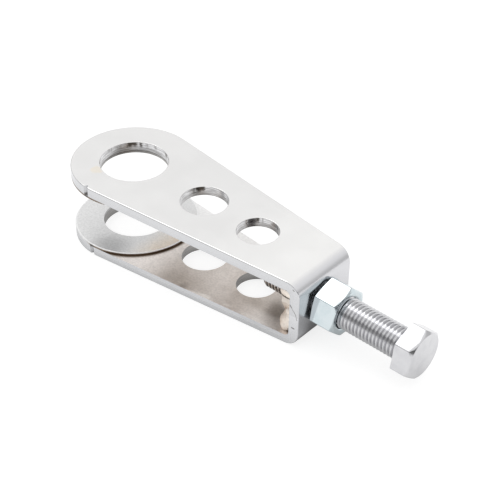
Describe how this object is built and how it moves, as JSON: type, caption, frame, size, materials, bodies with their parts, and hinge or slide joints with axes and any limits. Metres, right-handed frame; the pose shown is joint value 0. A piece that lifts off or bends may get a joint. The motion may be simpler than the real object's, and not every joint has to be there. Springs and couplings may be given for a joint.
{
  "type": "chain tensioner",
  "caption": "U-shaped sheet bracket with a bored round end for a wheel axle and a long adjuster bolt with lock nut through its web, to set a drive chain's tension.",
  "frame": {"origin": "centre of the axle bore, on the bolt's line", "axes": "+Z along the axle bore, +X along the adjuster bolt towards its head"},
  "size_m": [0.1353, 0.0406, 0.0268],
  "materials": {
    "plated_sheet": "bright zinc plate on pressed sheet, satin",
    "weld_metal": "plated weld metal, rough and faintly yellow",
    "blue_zinc": "bright blue zinc plate, semi-gloss",
    "bright_plate": "bright plated steel, glossy flats"
  },
  "bodies": {
    "bracket_body": {"bracket": "plated_sheet", "upper_disc": "plated_sheet", "lower_disc": "plated_sheet", "weld_nut": "weld_metal", "weld_beads": "weld_metal"},
    "lock_nut_body": {"lock_nut": "blue_zinc"},
    "bolt_body": {"adjuster_bolt": "bright_plate"}
  },
  "joints": [
    {"name": "bolt_travel", "type": "slide", "parent": "bracket_body", "child": "bolt_body", "axis": [1, 0, 0], "range_m": [-0.01625, 0.01]},
    {"name": "nut_travel", "type": "slide", "parent": "bracket_body", "child": "lock_nut_body", "axis": [1, 0, 0], "range_m": [-0.00083, 0.00375]}
  ]
}
